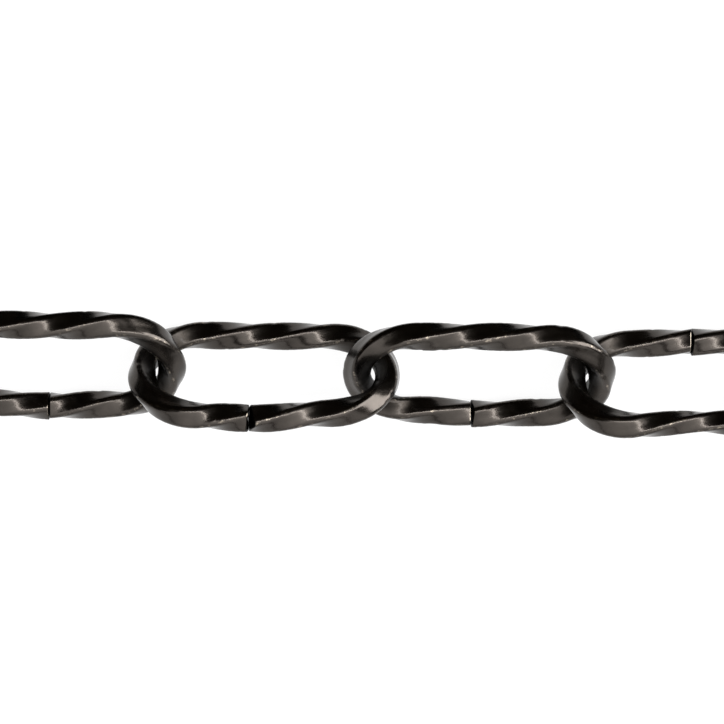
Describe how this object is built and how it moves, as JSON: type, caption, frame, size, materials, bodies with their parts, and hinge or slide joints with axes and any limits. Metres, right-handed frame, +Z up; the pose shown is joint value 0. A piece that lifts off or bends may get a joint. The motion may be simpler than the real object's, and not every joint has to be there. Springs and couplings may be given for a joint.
{
  "type": "chandelier chain, twisted square wire",
  "caption": "Straight run of oval chandelier chain links bent from twisted square wire, in glossy black nickel, each swinging on the next.",
  "frame": {"origin": "centre of the footprint on the floor that the chain lies on", "axes": "+X along the run of chain, +Y across it, +Z up"},
  "size_m": [0.9112, 0.0225, 0.0227],
  "materials": {
    "black_nickel": "gloss"
  },
  "bodies": {
    "link_01": {"link_01": "black_nickel"},
    "link_02": {"link_02": "black_nickel"},
    "link_03": {"link_03": "black_nickel"},
    "link_04": {"link_04": "black_nickel"},
    "link_05": {"link_05": "black_nickel"},
    "link_06": {"link_06": "black_nickel"},
    "link_07": {"link_07": "black_nickel"},
    "link_08": {"link_08": "black_nickel"},
    "link_09": {"link_09": "black_nickel"},
    "link_10": {"link_10": "black_nickel"},
    "link_11": {"link_11": "black_nickel"},
    "link_12": {"link_12": "black_nickel"},
    "link_13": {"link_13": "black_nickel"},
    "link_14": {"link_14": "black_nickel"},
    "link_15": {"link_15": "black_nickel"},
    "link_16": {"link_16": "black_nickel"},
    "link_17": {"link_17": "black_nickel"},
    "link_18": {"link_18": "black_nickel"},
    "link_19": {"link_19": "black_nickel"},
    "link_20": {"link_20": "black_nickel"},
    "link_21": {"link_21": "black_nickel"},
    "link_22": {"link_22": "black_nickel"}
  },
  "joints": [
    {"name": "swing_02", "type": "hinge", "parent": "link_01", "child": "link_02", "pos_m": [-0.40663, -0.00047, 0.01089], "axis": [0, 0.6884, -0.7254], "range_deg": [-130, 130]},
    {"name": "swing_03", "type": "hinge", "parent": "link_02", "child": "link_03", "pos_m": [-0.36567, 0.00047, 0.01126], "axis": [0, -0.6691, -0.7431], "range_deg": [-130, 130]},
    {"name": "swing_04", "type": "hinge", "parent": "link_03", "child": "link_04", "pos_m": [-0.32472, -0.00047, 0.01107], "axis": [0, -0.6884, 0.7254], "range_deg": [-130, 130]},
    {"name": "swing_05", "type": "hinge", "parent": "link_04", "child": "link_05", "pos_m": [-0.28377, 0.00047, 0.01104], "axis": [0, 0.6691, 0.7431], "range_deg": [-130, 130]},
    {"name": "swing_06", "type": "hinge", "parent": "link_05", "child": "link_06", "pos_m": [-0.24283, -0.00047, 0.01095], "axis": [0, 0.6884, -0.7254], "range_deg": [-130, 130]},
    {"name": "swing_07", "type": "hinge", "parent": "link_06", "child": "link_07", "pos_m": [-0.20187, 0.00047, 0.01109], "axis": [0, -0.6691, -0.7431], "range_deg": [-130, 130]},
    {"name": "swing_08", "type": "hinge", "parent": "link_07", "child": "link_08", "pos_m": [-0.16093, -0.00047, 0.0108], "axis": [0, -0.6884, 0.7254], "range_deg": [-130, 130]},
    {"name": "swing_09", "type": "hinge", "parent": "link_08", "child": "link_09", "pos_m": [-0.11997, 0.00047, 0.01126], "axis": [0, 0.6691, 0.7431], "range_deg": [-130, 130]},
    {"name": "swing_10", "type": "hinge", "parent": "link_09", "child": "link_10", "pos_m": [-0.07902, -0.00047, 0.01102], "axis": [0, 0.6884, -0.7254], "range_deg": [-130, 130]},
    {"name": "swing_11", "type": "hinge", "parent": "link_10", "child": "link_11", "pos_m": [-0.03807, 0.00047, 0.01121], "axis": [0, -0.6691, -0.7431], "range_deg": [-130, 130]},
    {"name": "swing_12", "type": "hinge", "parent": "link_11", "child": "link_12", "pos_m": [0.00287, -0.00047, 0.01079], "axis": [0, -0.6884, 0.7254], "range_deg": [-130, 130]},
    {"name": "swing_13", "type": "hinge", "parent": "link_12", "child": "link_13", "pos_m": [0.04383, 0.00047, 0.01117], "axis": [0, 0.6691, 0.7431], "range_deg": [-130, 130]},
    {"name": "swing_14", "type": "hinge", "parent": "link_13", "child": "link_14", "pos_m": [0.08478, -0.00047, 0.0113], "axis": [0, 0.6884, -0.7254], "range_deg": [-130, 130]},
    {"name": "swing_15", "type": "hinge", "parent": "link_14", "child": "link_15", "pos_m": [0.12573, 0.00047, 0.01096], "axis": [0, -0.6691, -0.7431], "range_deg": [-130, 130]},
    {"name": "swing_16", "type": "hinge", "parent": "link_15", "child": "link_16", "pos_m": [0.16667, -0.00047, 0.01084], "axis": [0, -0.6884, 0.7254], "range_deg": [-130, 130]},
    {"name": "swing_17", "type": "hinge", "parent": "link_16", "child": "link_17", "pos_m": [0.20763, 0.00047, 0.01125], "axis": [0, 0.6691, 0.7431], "range_deg": [-130, 130]},
    {"name": "swing_18", "type": "hinge", "parent": "link_17", "child": "link_18", "pos_m": [0.24857, -0.00047, 0.01091], "axis": [0, 0.6884, -0.7254], "range_deg": [-130, 130]},
    {"name": "swing_19", "type": "hinge", "parent": "link_18", "child": "link_19", "pos_m": [0.28952, 0.00047, 0.01111], "axis": [0, -0.6691, -0.7431], "range_deg": [-130, 130]},
    {"name": "swing_20", "type": "hinge", "parent": "link_19", "child": "link_20", "pos_m": [0.33048, -0.00047, 0.01085], "axis": [0, -0.6884, 0.7254], "range_deg": [-130, 130]},
    {"name": "swing_21", "type": "hinge", "parent": "link_20", "child": "link_21", "pos_m": [0.37143, 0.00047, 0.01116], "axis": [0, 0.6691, 0.7431], "range_deg": [-130, 130]},
    {"name": "swing_22", "type": "hinge", "parent": "link_21", "child": "link_22", "pos_m": [0.41237, -0.00047, 0.01107], "axis": [0, 0.6884, -0.7254], "range_deg": [-130, 130]}
  ]
}
